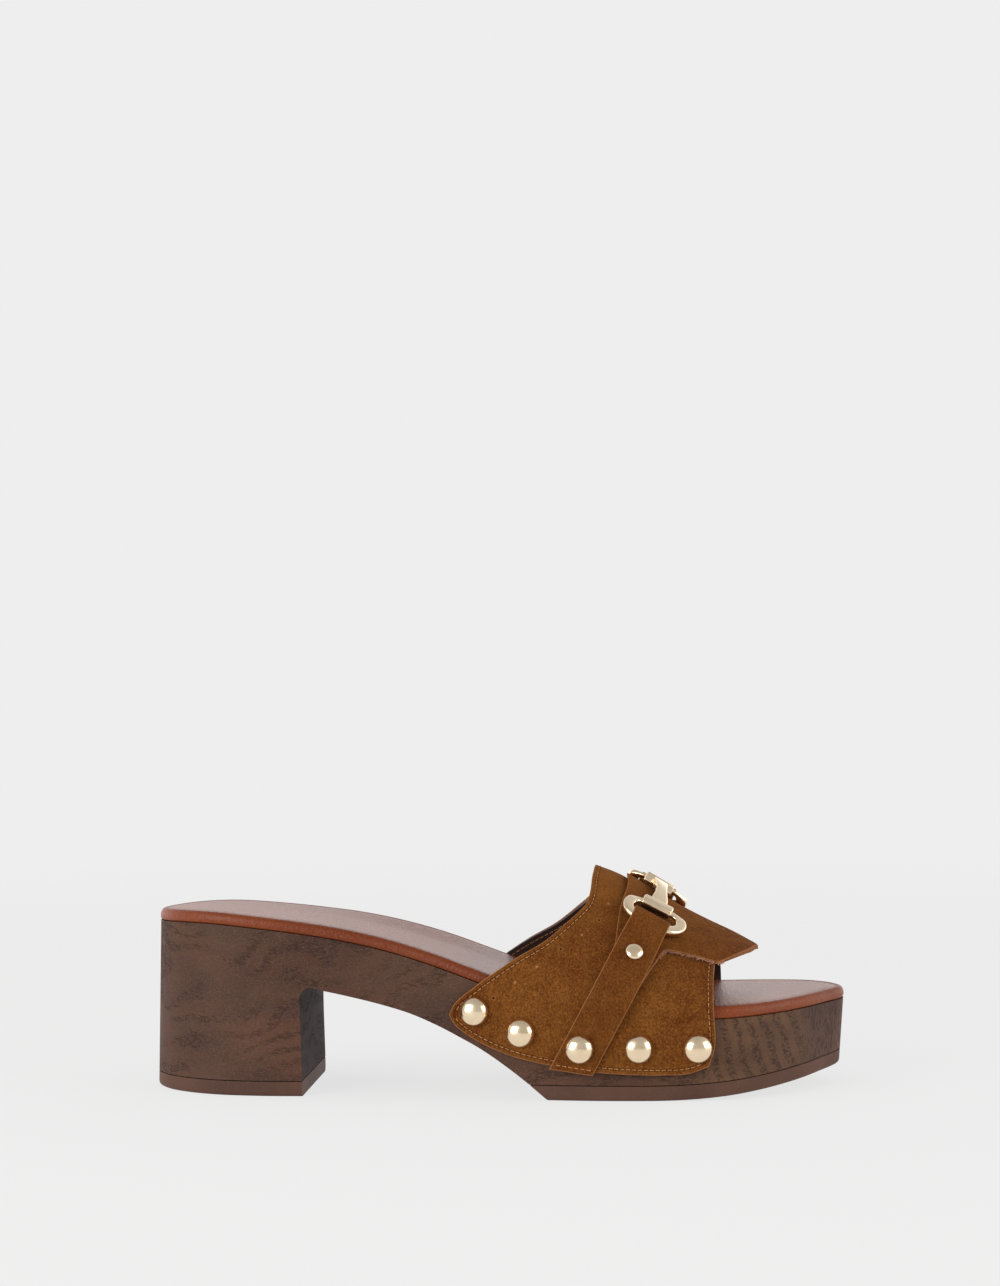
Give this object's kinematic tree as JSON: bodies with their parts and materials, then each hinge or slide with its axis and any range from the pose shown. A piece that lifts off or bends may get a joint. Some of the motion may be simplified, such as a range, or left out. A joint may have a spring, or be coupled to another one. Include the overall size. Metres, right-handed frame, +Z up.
{
  "type": "block heel clog mule",
  "caption": "Right-foot slip-on clog: wood-effect block heel and platform, suede band held by domed studs, flap, slanted straps and a ring bit.",
  "frame": {"origin": "centre of the bounding box's bottom, on the floor under the shoe", "axes": "+X from heel to toe, +Y towards the inner side of the right foot, +Z up"},
  "size_m": [0.247, 0.1015, 0.0786],
  "materials": {
    "wood_effect": "stained dark brown with fine dark grain, satin",
    "sole_rubber": "reddish brown, matte",
    "insole_leather": "tan brown, semi-gloss with fine pebble grain",
    "suede": "tan brown suede nap, matte",
    "pale_brass": "pale gold plating, polished"
  },
  "bodies": {
    "root": {"wood_base": "wood_effect", "outsole": "sole_rubber", "heel_top_piece": "sole_rubber", "insole": "insole_leather", "upper_band": "suede", "instep_flap": "suede", "strap_outer": "suede", "strap_inner": "suede", "bit_bar": "pale_brass", "bit_ring_outer": "pale_brass", "bit_ring_inner": "pale_brass", "strap_rivet_outer": "pale_brass", "strap_rivet_inner": "pale_brass", "stud_outer_1": "pale_brass", "stud_outer_2": "pale_brass", "stud_outer_3": "pale_brass", "stud_outer_4": "pale_brass", "stud_outer_5": "pale_brass", "stud_inner_1": "pale_brass", "stud_inner_2": "pale_brass", "stud_inner_3": "pale_brass", "stud_inner_4": "pale_brass", "stud_inner_5": "pale_brass"}
  },
  "joints": []
}
